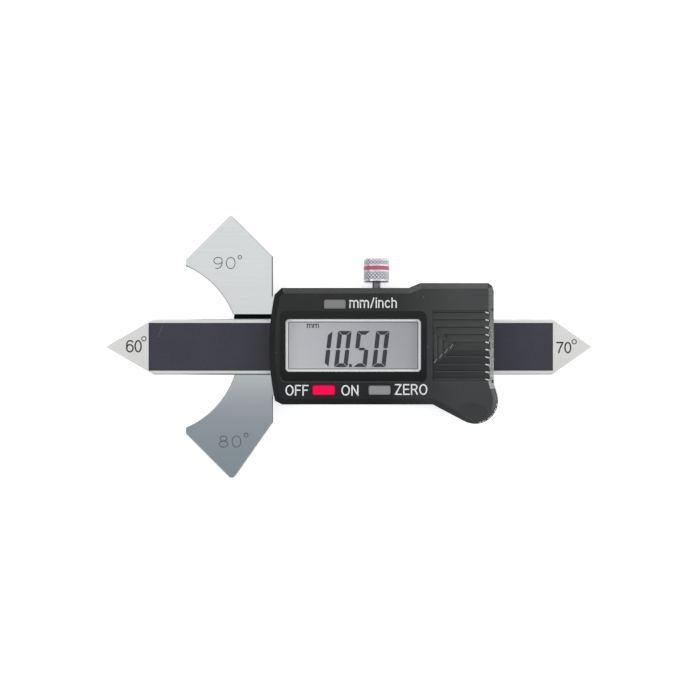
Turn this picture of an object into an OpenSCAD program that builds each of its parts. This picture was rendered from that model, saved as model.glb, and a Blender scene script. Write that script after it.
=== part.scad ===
// Digital weld gauge, lying on its back: beam along X, front towards +Z, millimetres

/* [Beam] */
// Length of the beam from point to point
beam_len = 139; // [126:1:160]
// Width of the beam across its sliding edges
beam_w = 16; // [14:0.5:18]
// Thickness of the beam
beam_t = 3.6; // [3:0.1:4.4]
// Angle of the point at the left end
left_point = 60; // [50:1:75]
// Angle of the point at the right end
right_point = 70; // [60:1:90]
// Bevel along the front edges of the beam
beam_bevel = 0.4; // [0.2:0.05:0.6]
// Bare steel left on each side of the scale
scale_margin = 1.15; // [1:0.05:2]
// How far the scale runs into the left point
scale_left = 1.5; // [1:0.1:1.8]
// How far the scale runs into the right point
scale_right = 0.3; // [0:0.1:0.8]
// Depth of the recess that holds the scale
scale_depth = 0.9; // [0.7:0.05:1.2]
// Thickness of the printed film over the scale
film_t = 0.15; // [0.1:0.01:0.25]

/* [Arms] */
// Height of both arm points from the beam's axis
arm_reach = 37.4; // [35:0.2:42]
// Angle of the upper arm's point
upper_point = 90; // [80:1:100]
// Angle of the lower arm's point
lower_point = 80; // [70:1:90]
// How far the upper point is ground back from sharp
upper_blunt = 0.5; // [0.1:0.1:1]
// How far the lower point is ground back from sharp
lower_blunt = 0.8; // [0.2:0.1:1.2]
// How far the corner of the seating edges lies ahead of the beam's left point
corner_lead = 2.1; // [0:0.1:5]
// From that corner to the flat noses of the arms
nose_setback = 25.1; // [24:0.1:27]
// From that corner to the centre of the bead clearance
bead_setback = 15.2; // [13.6:0.1:16.4]
// Radius of the bead clearance
bead_r = 25.1; // [24:0.1:26.5]
// From that corner to the right side of the arms
arm_setback = 49.6; // [47.6:0.1:54]
// Bevel along the front edges of the arms
arm_bevel = 0.3; // [0.15:0.05:0.5]

/* [Slider frame] */
// Steel left behind the beam
back_wall = 2.2; // [1.8:0.1:3]
// Room above the beam for the gib strip
gib_room = 1.35; // [1.1:0.05:1.8]
// Thickness of the gib strip
gib_t = 0.9; // [0.6:0.05:1]
// Height of the rail above the beam
upper_rail = 5; // [4.6:0.1:6]
// Height of the rail below the beam
lower_rail = 6; // [5.2:0.1:7]
// Thickness of the lips that keep the beam in
lip_t = 0.6; // [0.4:0.1:1]
// How far the lips reach over the beam
lip_reach = 1.1; // [0.8:0.1:1.3]
// How far the frame ends short of the housing
frame_short = 4.5; // [3:0.1:5]
// Diameter of the gib screws
gib_screw_d = 2; // [1.6:0.1:2.4]
// Distance of the gib screws from the ends of the frame
gib_screw_in = 11; // [8:0.5:14]
// Diameter of the screws that hold the housing
house_screw_d = 2; // [1.6:0.1:2.2]

/* [Housing] */
// Height of the housing above the frame
housing_h = 8; // [7.8:0.1:10]
// Thickness of the front wall
front_wall = 2; // [1.9:0.1:2.4]
// Thickness of the side walls
side_wall = 1.9; // [1.6:0.1:2.6]
// Width of the bevel round the front
bevel_w = 1.6; // [1:0.1:2]
// Depth of the bevel round the front
bevel_h = 1.35; // [0.8:0.05:1.8]
// Radius of the bowed left side
bow_r = 72; // [60:1:120]
// Size of the cut corner at the upper left
corner_cut = 2; // [1:0.1:2.4]
// Rise of the block at the upper right
block_rise = 1.35; // [0.6:0.05:2]
// Length of the block at the upper right
block_len = 20.5; // [18:0.1:24]
// Radius of the thumb lobe at the lower right
lobe_r = 6.4; // [5.6:0.1:7]
// How far the lobe stands out on the right
lobe_out = 1.2; // [0.8:0.1:2]
// How far the lobe reaches below the housing
lobe_drop = 5.4; // [4.6:0.1:6.4]
// Length of the slope that leads to the lobe
lobe_run = 11.8; // [10:0.1:15]
// Depth of the thumb dish in the lobe
dish_depth = 0.5; // [0.3:0.1:1.2]

/* [Display] */
// Width of the display window
window_w = 37.7; // [34:0.1:44]
// Height of the display window
window_h = 14.7; // [13:0.1:16.5]
// Lens beyond the window at each side
lens_side = 1.55; // [1.4:0.05:2.5]
// Lens beyond the window at the top
lens_top = 2.15; // [1.6:0.05:3]
// Lens beyond the window at the bottom
lens_bottom = 2.85; // [1.6:0.05:3.5]
// Corner radius of the lens panel
lens_r = 1.8; // [1:0.1:2.5]
// Thickness of the lens panel
lens_t = 1.2; // [0.9:0.1:1.3]
// Width of the pale rim round the display
rim_w = 0.65; // [0.5:0.05:1.1]
// Thickness of the LCD glass
lcd_t = 1.1; // [0.9:0.05:1.4]

/* [Buttons] */
// Width of a button
button_w = 6.1; // [5:0.1:7]
// Height of a button
button_h = 2.5; // [2.2:0.1:2.8]
// How far a button stands out of the housing
button_proud = 0.4; // [0.2:0.05:0.6]
// How far a button can be pressed
button_travel = 0.5; // [0.3:0.05:0.6]
// Place of the unit button, from the left end of the lens
unit_at = 15.3; // [10:0.1:20]
// Place of the power button, from the left end of the lens
power_at = 12.2; // [9:0.1:14]
// Place of the zero button, from the left end of the lens
zero_at = 27.7; // [24:0.1:30]

/* [Battery] */
// Diameter of the button cell
cell_d = 11.6; // [9.5:0.1:12]
// Height of the button cell
cell_h = 5.4; // [3.6:0.1:5.4]
// Length of the battery cover
cover_len = 17; // [16.6:0.1:20]
// Width of the battery cover
cover_w = 19.2; // [18.6:0.1:21]
// Pitch of the grip steps on the cover
grip_pitch = 2.06; // [1.6:0.02:2.06]
// Depth of the grip steps on the cover
grip_depth = 0.45; // [0.2:0.05:0.6]

/* [Lock screw] */
// Diameter of the knurled head
knob_d = 7.5; // [6.5:0.1:8]
// Height of the knurled head
knob_h = 6.9; // [6:0.1:9]
// Diameter of the thread
thread_d = 2.4; // [2:0.1:2.6]
// Height of the red ring
ring_h = 1.05; // [0.8:0.05:1.4]
// Distance of the red ring from the top of the head
ring_drop = 2.4; // [1.8:0.05:2.6]
// Bare thread between the housing and the head
neck_show = 2.1; // [1.5:0.1:3]
// Place of the lock screw, from the right side of the arms
lock_at = 30; // [24:0.5:34]

/* [Clearances] */
// Running gap on the sliding edges of the beam
edge_gap = 0.05; // [0.02:0.01:0.08]
// Running gap on the faces of the beam
face_gap = 0.1; // [0.05:0.01:0.15]
// Gap of a piece laid into a pocket
lay_gap = 0.08; // [0.04:0.01:0.12]
// Gap round a screw in its hole
screw_gap = 0.05; // [0.02:0.01:0.08]
// Gap round the battery cover, and behind the collars of the buttons
move_gap = 0.1; // [0.06:0.01:0.15]
// Gap round the buttons
button_gap = 0.2; // [0.1:0.05:0.3]
// Gap between the housing's skirt and the frame
skirt_gap = 0.15; // [0.1:0.01:0.25]

/* [Hidden] */
$fn = 64;
far = 200;

// beam levels and ends
beam_y = beam_w / 2;
beam_x = beam_len / 2;
beam_z0 = back_wall + face_gap;
beam_z1 = beam_z0 + beam_t;
left_taper = beam_y / tan(left_point / 2);
right_taper = beam_y / tan(right_point / 2);
scale_w = beam_w - 2 * scale_margin;
scale_x0 = -beam_x + left_taper - scale_left;
scale_x1 = beam_x - right_taper + scale_right;
scale_z = beam_z1 - scale_depth;
film_z = beam_z1 - 0.2 * film_t - film_t;

// arms and slider frame
seat_x = -beam_x - corner_lead;
arm_x = seat_x + arm_setback;
bead_x = seat_x + bead_setback;
channel_y0 = -beam_y - edge_gap;
channel_y1 = beam_y + gib_room;
frame_y0 = channel_y0 - lower_rail;
frame_y1 = channel_y1 + upper_rail;
lip_z = beam_z1 + face_gap;
frame_z = lip_z + lip_t;
window_y = beam_y - lip_reach;
screw_y0 = channel_y0 - lower_rail / 2;
screw_y1 = channel_y1 + upper_rail / 2;
axis_z = (beam_z0 + beam_z1) / 2;

// housing, left to right
lens_in = 3;
cover_in = 1.75;
pad_in = 2.1;
cavity_in = 2.6;
bay_wall = 1;
lens_w = window_w + 2 * lens_side;
lens_h = window_h + lens_top + lens_bottom;
house_x0 = arm_x - move_gap;
lens_x0 = house_x0 + lens_in;
lens_x1 = lens_x0 + lens_w;
lens_x = (lens_x0 + lens_x1) / 2;
cover_x0 = lens_x1 + cover_in;
house_x1 = cover_x0 + cover_len;
frame_x1 = house_x1 - frame_short;
pad_x0 = house_x0 + pad_in;
block_x = house_x1 - block_len;
lobe_x = house_x1 + lobe_out - lobe_r;

// housing, across
row_gap1 = 0.7;
row_gap0 = 0.95;
row_rim1 = 1.75;
row_rim0 = 1.15;
ledge = 0.2;
row_y1 = lens_h / 2 + row_gap1 + button_h / 2;
row_y0 = -lens_h / 2 - row_gap0 - button_h / 2;
house_y1 = max(frame_y1 + skirt_gap + side_wall, row_y1 + button_h / 2 + row_rim1 + bevel_w);
house_y0 = min(frame_y0 - skirt_gap - side_wall, row_y0 - button_h / 2 - row_rim0 - bevel_w);
lobe_y = house_y0 - lobe_drop + lobe_r;
cavity_x0 = house_x0 + cavity_in;
cavity_x1 = cover_x0 - bay_wall;
cavity_y0 = house_y0 + side_wall + ledge;
cavity_y1 = house_y1 - side_wall - ledge;

// housing, back to front
skirt_h = 1;
lens_sunk = 0.1;
skirt_z = frame_z - skirt_h;
front_z = frame_z + housing_h;
ceiling_z = front_z - front_wall;
lens_z = front_z - lens_sunk - lens_t;

// board, display and buttons
board_t = 1;
board_z = frame_z + board_t;
lcd_y = (lens_bottom - lens_top) / 2;
lcd_lap = 0.1;
lcd_flange = 1.2;
lcd_w = window_w + 2 * lcd_lap;
lcd_h = window_h + 2 * lcd_lap;
lcd_z = ceiling_z - lcd_lap - lcd_t;
strip_t = 1.6;
dome_h = 0.6;
dome_d = 3.2;
blob_d = 8.4;
blob_h = 1.4;
collar_w = 0.4;
collar_h = 0.3;
collar_t = 0.65;
stem_z = board_z + dome_h + button_travel + move_gap / 2;
unit_x = lens_x0 + unit_at;
power_x = lens_x0 + power_at;
zero_x = lens_x0 + zero_at;

// battery bay
bay_in = 1.2;
bay_gap = 0.35;
bay_floor = 0.7;
contact_t = 0.2;
contact_w = 4;
cover_t = 1.45;
tongue_w = 0.75;
tongue_h = 0.5;
bay_x = cover_x0 + bay_in + cell_d / 2;
bay_y = lcd_y;
bay_r = cell_d / 2 + bay_gap;
bay_z = frame_z + bay_floor;
cover_z = front_z - cover_t;
cover_y0 = bay_y - cover_w / 2;
cover_y1 = bay_y + cover_w / 2;

// lock screw and small screws
lock_x = arm_x + lock_at;
knob_y0 = house_y1 + neck_show;
knob_y1 = knob_y0 + knob_h;
gib_screws_x = [arm_x + gib_screw_in, frame_x1 - gib_screw_in];
head_d = 1.9 * house_screw_d;
head_h = 0.62 * house_screw_d;
head_sunk = 0.15;
house_screws_x = [cavity_x0 + 1.15 * house_screw_d, bay_x + house_screw_d];
board_screw_d = 1.6;
board_head_d = 2.8;
board_head_h = 0.6;
board_screw_in = 2.7;
board_screws = [
    [unit_x - button_w / 2 - 2 * board_screw_in, screw_y1],
    [zero_x + 2.2 * board_screw_in, screw_y1],
    [power_x - button_w / 2 - board_screw_in, screw_y0],
    [zero_x + button_w / 2 + 1.7 * board_screw_in, screw_y0],
];

// One sub-part, or all of them

// A box between two corners
module span(a, b) {
    translate(a)
        cube(b - a);
}

// A rectangle with round corners, about its own centre
module round_rect(w, h, r) {
    square([w - 2 * r, h], center = true);
    square([w, h - 2 * r], center = true);
    for (x = [-1, 1], y = [-1, 1])
        translate([x * (w / 2 - r), y * (h / 2 - r)])
            circle(r);
}

// A round cap of a sphere, flat side down
module cap(d, h) {
    r = (d * d / 4 + h * h) / (2 * h);
    intersection() {
        translate([0, 0, h - r])
            rotate([90, 0, 0])
                sphere(r, $fn = 96);
        translate([0, 0, r])
            cube(2 * r, center = true);
    }
}

// One arm in the upper half plane, as far as the beam's axis
module arm_outline(point, blunt) {
    top = arm_reach + blunt;
    drop = (arm_x - seat_x - top) * tan(135 - point);
    intersection() {
        polygon([
            [seat_x + nose_setback, 0],
            [seat_x + nose_setback, nose_setback],
            [seat_x + top, top],
            [arm_x, top - drop],
            [arm_x, 0],
        ]);
        translate([-far, 0])
            square([2 * far, arm_reach]);
    }
}

// Both arms with the round clearance for the weld bead
module crosspiece_outline() {
    difference() {
        union() {
            arm_outline(upper_point, upper_blunt);
            mirror([0, 1])
                arm_outline(lower_point, lower_blunt);
        }
        translate([bead_x, 0])
            circle(bead_r, $fn = 128);
    }
}

// A wedge that bevels the front edge running from a to b, material on its right
module edge_wedge(a, b, z, w, h) {
    d = b - a;
    translate([a.x, a.y, z])
        rotate([0, 0, atan2(d.y, d.x)])
            rotate([90, 0, 90])
                translate([0, 0, -2])
                    linear_extrude(norm(d) + 4)
                        polygon([[-2 * w, h], [w, -2 * h], [2 * w, 2 * h]]);
}

module slider_frame() {
    up = arm_reach + upper_blunt;
    low = arm_reach + lower_blunt;
    low_drop = (arm_x - seat_x - low) * tan(135 - lower_point);
    up_drop = (arm_x - seat_x - up) * tan(135 - upper_point);
    color("#b9bdbf")
    difference() {
        union() {
            linear_extrude(beam_z1)
                crosspiece_outline();
            span([arm_x - 1, frame_y0, 0], [frame_x1, frame_y1, beam_z1]);
            span([pad_x0, frame_y0, beam_z1 - 0.5], [frame_x1, frame_y1, frame_z]);
        }
        // channel for the beam and the gib, open to the front left of the lips
        span([-far, channel_y0, back_wall], [far, channel_y1, lip_z]);
        span([-far, -window_y, back_wall], [far, window_y, far]);
        span([-far, channel_y0, back_wall], [pad_x0, channel_y1, far]);
        // bevels along the seating edges and the sloped edges
        edge_wedge([seat_x + nose_setback, nose_setback], [seat_x + up, up], beam_z1, arm_bevel, arm_bevel);
        edge_wedge([seat_x + up, up], [arm_x, up - up_drop], beam_z1, arm_bevel, arm_bevel);
        edge_wedge([seat_x + low, -low], [seat_x + nose_setback, -nose_setback], beam_z1, arm_bevel, arm_bevel);
        edge_wedge([arm_x, low_drop - low], [seat_x + low, -low], beam_z1, arm_bevel, arm_bevel);
        translate([bead_x, 0, beam_z1 - arm_bevel])
            cylinder(h = 1, r1 = bead_r, r2 = bead_r + 1, $fn = 128);
        // lock screw and gib screws through the upper rail
        translate([lock_x, channel_y1 - 1, axis_z])
            rotate([-90, 0, 0])
                cylinder(h = far, d = thread_d + 2 * screw_gap);
        for (x = gib_screws_x)
            translate([x, channel_y1 - 1, axis_z])
                rotate([-90, 0, 0])
                    cylinder(h = far, d = gib_screw_d + 2 * screw_gap);
        // housing screws from the back, heads sunk
        for (x = house_screws_x, y = [screw_y0, screw_y1])
            translate([x, y, 0]) {
                translate([0, 0, -1])
                    cylinder(h = far, d = house_screw_d + 2 * screw_gap);
                translate([0, 0, -1])
                    cylinder(h = head_sunk + head_h + 1, d = head_d + 2 * screw_gap);
            }
        // room for the heads of the board screws
        for (p = board_screws)
            translate([p.x, p.y, frame_z - board_head_h - 2 * screw_gap - 0.1])
                cylinder(h = far, d = board_head_d + 0.4);
    }
}

module gib_strip() {
    y = beam_y + edge_gap;
    x = bead_x + sqrt(bead_r * bead_r - y * y);
    color("#4a4c50")
        span([x - gib_t / 5, y, beam_z0 + face_gap], [frame_x1 - gib_t / 3, y + gib_t, beam_z1 - beam_bevel]);
}

module gib_screws() {
    y0 = beam_y + edge_gap + gib_t;
    y1 = frame_y1 - gib_screw_d / 4;
    color("#55585c")
    for (x = gib_screws_x)
        translate([x, y0, axis_z])
            rotate([-90, 0, 0])
                difference() {
                    cylinder(h = y1 - y0, d = gib_screw_d);
                    span([-0.1 * gib_screw_d, -far, y1 - y0 - 0.3 * gib_screw_d],
                         [0.1 * gib_screw_d, far, far]);
                }
}

module beam_outline() {
    y = beam_y;
    polygon([
        [-beam_x, 0],
        [-beam_x + left_taper, -y],
        [beam_x - right_taper, -y],
        [beam_x, 0],
        [beam_x - right_taper, y],
        [-beam_x + left_taper, y],
    ]);
}

module beam() {
    color("#c6c9ca")
    difference() {
        translate([0, 0, beam_z0])
            linear_extrude(beam_t)
                beam_outline();
        // bevels along both front edges
        for (s = [0, 1])
            mirror([0, s, 0])
                translate([-beam_x, beam_y, beam_z1])
                    rotate([90, 0, 90])
                        linear_extrude(beam_len)
                            polygon([[-beam_bevel, 0.01], [0.5, 0.5], [0.01, -beam_bevel]]);
        // recess for the scale
        span([scale_x0, -scale_w / 2, scale_z], [scale_x1, scale_w / 2, far]);
    }
}

module scale_board() {
    y = scale_w / 2 - lay_gap;
    color("#2f5d46")
        span([scale_x0 + lay_gap, -y, scale_z], [scale_x1 - lay_gap, y, film_z]);
}

module scale_film() {
    y = scale_w / 2 - lay_gap;
    color("#42404a")
        span([scale_x0 + lay_gap, -y, film_z], [scale_x1 - lay_gap, y, film_z + film_t]);
}

// The room inside the housing over the board, less a margin all round
module cavity_outline(inset) {
    a = cavity_x0 + inset;
    b = cavity_x1 - inset;
    c = cavity_y0 + inset;
    d = cavity_y1 - inset;
    polygon([[a, c + 2], [a + 2, c], [b, c], [b, d], [a + 2, d], [a, d - 2]]);
}

module circuit_board() {
    color("#1f6a43")
    difference() {
        translate([0, 0, frame_z])
            linear_extrude(board_t)
                cavity_outline(0.25);
        // corners cut away round the housing screws
        span([-far, screw_y1 - 1.15 * house_screw_d, 0], [house_screws_x[0] + 1.15 * house_screw_d, far, far]);
        span([-far, -far, 0], [house_screws_x[0] + 1.15 * house_screw_d, screw_y0 + 1.15 * house_screw_d, far]);
        for (p = board_screws)
            translate([p.x, p.y, 0])
                cylinder(h = far, d = board_screw_d + 2 * screw_gap);
    }
}

module controller_blob() {
    color("#1b1b1d")
    translate([lens_x + blob_d / 2, lcd_y, board_z])
        cap(blob_d, blob_h);
}

module switch_domes() {
    color("#c9cbcd")
    for (p = [[unit_x, row_y1], [power_x, row_y0], [zero_x, row_y0]])
        translate([p.x, p.y, board_z])
            cap(dome_d, dome_h);
}

module connector_strips() {
    color("#6f7d86")
    for (s = [-1, 1]) {
        x = lcd_w / 2 - strip_t / 2;
        y = lcd_y + s * (lcd_h / 2 - 0.7 * strip_t);
        span([lens_x - x, y - strip_t / 2, board_z], [lens_x + x, y + strip_t / 2, lcd_z]);
    }
}

module lcd_panel() {
    color("#aeb0ad")
        span([lens_x - lcd_w / 2, lcd_y - lcd_h / 2, lcd_z],
             [lens_x + lcd_w / 2, lcd_y + lcd_h / 2, lcd_z + lcd_t]);
}

module lcd_frame() {
    color("#e4e6e6")
    translate([lens_x, lcd_y, 0])
        difference() {
            union() {
                translate([0, 0, lcd_z])
                    linear_extrude(ceiling_z - lcd_z)
                        square([window_w + 2 * lcd_flange, window_h + 2 * lcd_flange], center = true);
                translate([0, 0, lcd_z])
                    linear_extrude(lens_z - lay_gap - lcd_z)
                        round_rect(window_w - 2 * lay_gap, window_h - 2 * lay_gap, lens_r / 2);
            }
            linear_extrude(far)
                round_rect(window_w - 2 * rim_w, window_h - 2 * rim_w, lens_r / 4);
            translate([0, 0, -1])
                linear_extrude(lcd_z + lcd_t + 1)
                    square([lcd_w + 2 * lay_gap, lcd_h + 2 * lay_gap], center = true);
        }
}

module display_lens() {
    color("#1c1d20", 0.5)
    translate([lens_x, 0, lens_z])
        linear_extrude(lens_t)
            round_rect(lens_w - 2 * lay_gap, lens_h - 2 * lay_gap, lens_r - lay_gap);
}

// Where the line from p touches the circle round c, on its left (1) or right (-1) side
function touch(p, c, r, side) =
    let (d = c - p, a = atan2(d.y, d.x) + side * asin(r / norm(d)), n = sqrt(d * d - r * r))
    p + n * [cos(a), sin(a)];

// A flat-sided block of the housing, bevelled along the first n edges of its outline
module bevelled(points, n) {
    difference() {
        translate([0, 0, skirt_z])
            linear_extrude(front_z - skirt_z)
                polygon(points);
        // every other bevel is a touch deeper, so that no four faces meet in one point
        for (k = [0:n - 1])
            edge_wedge(points[k], points[k + 1], front_z, bevel_w + k % 2 * 0.03, bevel_h + k % 2 * 0.03);
    }
}

// A round block of the housing with the same bevel
module bevelled_round(r, over = 0) {
    h = bevel_h + over;
    translate([0, 0, skirt_z])
        cylinder(h = front_z - h - skirt_z, r = r, $fn = 128);
    translate([0, 0, front_z - h])
        cylinder(h = h, r1 = r, r2 = r - bevel_w - over, $fn = 128);
}

// The outer body: every block carries its own bevel, so the bevels meet in the inner corners
module housing_body() {
    lobe = [lobe_x, lobe_y];
    low = [lobe_x - lobe_run, house_y0];
    low_touch = touch(low, lobe, lobe_r, -1);
    side = [house_x1, cover_y0 - 0.8 * tongue_w];
    side_touch = touch(side, lobe, lobe_r, 1);
    ramp = [2.37 * block_rise, block_rise];
    // display end with the bowed left side
    intersection() {
        translate([house_x0 + bow_r, 0, 0])
            bevelled_round(bow_r, 0.05);
        bevelled([
            [house_x1 - frame_short, house_y0],
            [house_x0 + 1.8 * corner_cut, house_y0],
            [house_x0 - 0.5 * corner_cut, house_y0 + 1.2 * corner_cut],
            [house_x0 - 0.5 * corner_cut, house_y1 - 2.15 * corner_cut],
            [house_x0 + 1.7 * corner_cut, house_y1],
            [house_x1 - frame_short, house_y1],
        ], 5);
    }
    // battery end with the raised block
    bevelled([
        [block_x, house_y1 + block_rise] - 2.5 * ramp,
        [block_x, house_y1 + block_rise],
        [house_x1 - 0.75 * corner_cut, house_y1 + block_rise],
        [house_x1 - 0.2 * corner_cut, house_y1 + block_rise - 0.4 * corner_cut],
        [house_x1, house_y1 + block_rise - 1.1 * corner_cut],
        [house_x1, cover_y0 - 2 * corner_cut],
        [block_x - 4 * corner_cut, cover_y0 - 2 * corner_cut],
    ], 5);
    // thumb lobe and the slopes that lead into it
    translate([lobe_x, lobe_y, 0])
        bevelled_round(lobe_r);
    bevelled([low_touch, low - 0.4 * (low_touch - low), lobe + [-lobe_r, lobe_r], lobe], 1);
    bevelled([side - 0.6 * (side_touch - side), side_touch, lobe, side - [lobe_r, 0]], 1);
}

module button_hole(x, y) {
    translate([x, y, ceiling_z - 1])
        linear_extrude(far)
            round_rect(button_w + 2 * button_gap, button_h + 2 * button_gap, button_h / 5 + button_gap);
}

module housing() {
    wall_x1 = house_x1 - side_wall;
    color("#2c2d30")
    difference() {
        union() {
            difference() {
                housing_body();
                // pocket over the slider frame, and the way through for the beam
                span([house_x0 - 5, frame_y0 - skirt_gap, skirt_z - 1],
                     [frame_x1 + skirt_gap, frame_y1 + skirt_gap, frame_z]);
                span([frame_x1, -beam_y - 4 * face_gap, skirt_z - 1], [far, beam_y + 4 * face_gap, frame_z]);
                // room over the board
                translate([0, 0, frame_z - 0.5])
                    linear_extrude(ceiling_z - frame_z + 0.5)
                        cavity_outline(0);
                // hollows above and below the battery bay, and in the thumb lobe
                span([cover_x0 + bay_wall, bay_y + bay_r + bay_wall, frame_z - 0.5],
                     [wall_x1, cavity_y1, cover_z - bay_floor]);
                span([cover_x0 + bay_wall, cavity_y0, frame_z - 0.5],
                     [wall_x1, bay_y - bay_r - bay_wall, cover_z - bay_floor]);
                translate([lobe_x, lobe_y, skirt_z - 1])
                    cylinder(h = front_z - dish_depth - front_wall + 1 - skirt_z, r = lobe_r - side_wall);
            }
            // bosses for the housing screws and the board screws
            for (x = house_screws_x, y = [screw_y0, screw_y1])
                translate([x, y, frame_z])
                    cylinder(h = ceiling_z - frame_z, r = house_screw_d);
            for (p = board_screws)
                translate([p.x, p.y, board_z])
                    cylinder(h = ceiling_z - board_z, r = 0.95 * board_screw_d);
        }
        for (x = house_screws_x, y = [screw_y0, screw_y1])
            translate([x, y, 0])
                cylinder(h = frame_z + 2 * house_screw_d, d = house_screw_d + 2 * screw_gap);
        for (p = board_screws)
            translate([p.x, p.y, 0])
                cylinder(h = board_z + 1.9 * board_screw_d, d = board_screw_d + 2 * screw_gap);
        // seat of the lens and the window behind it
        translate([lens_x, 0, lens_z])
            linear_extrude(far)
                round_rect(lens_w, lens_h, lens_r);
        translate([lens_x, lcd_y, ceiling_z - 1])
            linear_extrude(far)
                round_rect(window_w, window_h, lens_r / 2);
        button_hole(unit_x, row_y1);
        button_hole(power_x, row_y0);
        button_hole(zero_x, row_y0);
        // battery bay, slot for the plus contact
        translate([bay_x, bay_y, bay_z])
            cylinder(h = far, r = bay_r);
        span([bay_x - bay_r - 2 * lay_gap, bay_y - contact_w / 2 - lay_gap, bay_z],
             [bay_x, bay_y + contact_w / 2 + lay_gap, far]);
        // way for the cover and the grooves for its tongues
        span([cover_x0 - move_gap, cover_y0 - move_gap, cover_z], [far, cover_y1 + move_gap, far]);
        span([cover_x0 - move_gap, cover_y0 - tongue_w - move_gap, cover_z],
             [far, cover_y1 + tongue_w + move_gap, cover_z + tongue_h + 2 * move_gap]);
        // thumb dish
        translate([lobe_x - 0.18 * lobe_r, lobe_y - 0.84 * lobe_r, front_z + 4 * lobe_r - dish_depth])
            rotate([90, 0, 0])
                sphere(r = 4 * lobe_r, $fn = 128);
    }
}

module board_screws() {
    color("#9a9da0")
    for (p = board_screws)
        translate([p.x, p.y, frame_z]) {
            cylinder(h = board_t + 1.5 * board_screw_d, d = board_screw_d);
            translate([0, 0, -board_head_h])
                cylinder(h = board_head_h, d = board_head_d);
        }
}

module housing_screws() {
    color("#8d9093")
    for (x = house_screws_x, y = [screw_y0, screw_y1])
        translate([x, y, 0])
            difference() {
                union() {
                    translate([0, 0, head_sunk])
                        cylinder(h = head_h, d = head_d);
                    translate([0, 0, head_sunk + head_h / 2])
                        cylinder(h = frame_z + 1.5 * house_screw_d, d = house_screw_d);
                }
                for (a = [0, 90])
                    rotate([0, 0, a])
                        span([-head_d / 4, -head_d / 17, -1], [head_d / 4, head_d / 17, head_sunk + head_h / 2]);
            }
}

// A push button with its collar behind the front wall and a stem down to its dome
module push_button(x, y) {
    translate([x, y, 0]) {
        translate([0, 0, ceiling_z - collar_t / 2])
            linear_extrude(front_z + 0.25 * button_proud - ceiling_z + collar_t / 2)
                round_rect(button_w, button_h, button_h / 5);
        translate([0, 0, front_z])
            linear_extrude(button_proud)
                round_rect(button_w - 0.2 * button_h, 0.8 * button_h, button_h / 8);
        translate([0, 0, ceiling_z - collar_t - move_gap / 2])
            linear_extrude(collar_t)
                round_rect(button_w + 2 * collar_w, button_h + 2 * collar_h, button_h / 6);
        translate([0, 0, stem_z])
            linear_extrude(ceiling_z - collar_t / 2 - stem_z)
                round_rect(0.92 * button_h, 0.62 * button_h, button_h / 9);
    }
}

module unit_button() {
    color("#8b8b8e")
        push_button(unit_x, row_y1);
}

module power_button() {
    color("#e0194f")
        push_button(power_x, row_y0);
}

module zero_button() {
    color("#8b8b8e")
        push_button(zero_x, row_y0);
}

module cell_contact_minus() {
    color("#c9b27a")
        translate([bay_x, bay_y, bay_z])
            cylinder(h = contact_t, r = 0.37 * cell_d);
}

module cell_contact_plus() {
    color("#c9b27a")
        span([bay_x - bay_r - lay_gap, bay_y - contact_w / 2, bay_z + 2 * contact_t],
             [bay_x - cell_d / 2 - lay_gap, bay_y + contact_w / 2, bay_z + 0.85 * cell_h]);
}

module button_cell() {
    color("#d0d2d3")
    translate([bay_x, bay_y, bay_z + contact_t]) {
        cylinder(h = cell_h / 2, r = 0.41 * cell_d);
        translate([0, 0, 0.1 * cell_h])
            cylinder(h = 0.9 * cell_h, d = cell_d);
    }
}

// Cross section of the grip across the cover, steps facing the middle
function grip_across() =
    let (top = front_z, low = front_z - grip_depth, p = grip_pitch, e = cover_w / 2)
    let (half = [for (k = [4:-1:1]) each [[(k + 0.5) * p, low], [(k - 0.5) * p, top]]])
    let (up = concat([[e, top], [4.5 * p, top]], half, [[p / 2, low]]))
    let (down = [for (k = [len(up) - 1:-1:0]) [-up[k].x, up[k].y]])
    concat([[-e, cover_z + move_gap / 2], [e, cover_z + move_gap / 2]], up, down);

// Cross section of the short grip along the cover, inside the arrow
function grip_along(n) =
    let (top = front_z, low = front_z - grip_depth, p = 0.75 * grip_pitch)
    concat(
        [[n * p, cover_z + cover_t / 3], [0, cover_z + cover_t / 3]],
        [for (k = [0:n - 1]) each [[k * p, low], [(k + 0.72) * p, top], [(k + 0.78) * p, low]]],
        [[n * p, low]]
    );

// Arrow on the cover, pointing the way it slides
module arrow(h) {
    a = cover_x0 + 0.1 * grip_pitch;
    polygon([[a, bay_y - h], [a + 1.14 * h, bay_y], [a, bay_y + h]]);
}

module battery_cover() {
    big = 2.7 * grip_pitch;
    small = 1.8 * grip_pitch;
    color("#333438")
    difference() {
        union() {
            difference() {
                translate([cover_x0, bay_y, 0])
                    rotate([90, 0, 90])
                        linear_extrude(house_x1 - cover_x0)
                            polygon(grip_across());
                translate([0, 0, front_z - grip_depth])
                    linear_extrude(far)
                        arrow(big);
            }
            difference() {
                translate([0, 0, front_z - 1.4 * grip_depth])
                    linear_extrude(1.4 * grip_depth)
                        arrow(big);
                translate([0, 0, front_z - grip_depth])
                    linear_extrude(far)
                        arrow(small);
            }
            intersection() {
                translate([cover_x0, bay_y + far / 2, 0])
                    rotate([90, 0, 0])
                        linear_extrude(far)
                            polygon(grip_along(3));
                translate([0, 0, cover_z])
                    linear_extrude(far)
                        arrow(small);
            }
            span([cover_x0, cover_y0 - tongue_w, cover_z + move_gap / 2],
                 [house_x1 - 1.6 * bevel_w, cover_y1 + tongue_w, cover_z + move_gap / 2 + tongue_h]);
        }
        // bevel at the right end, in line with the housing's
        translate([house_x1 - bevel_w, far / 2, front_z])
            rotate([90, 0, 0])
                linear_extrude(far)
                    polygon([[0, 0], [0, 1], [far, 1], [far, -far * bevel_h / bevel_w]]);
    }
}

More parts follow.
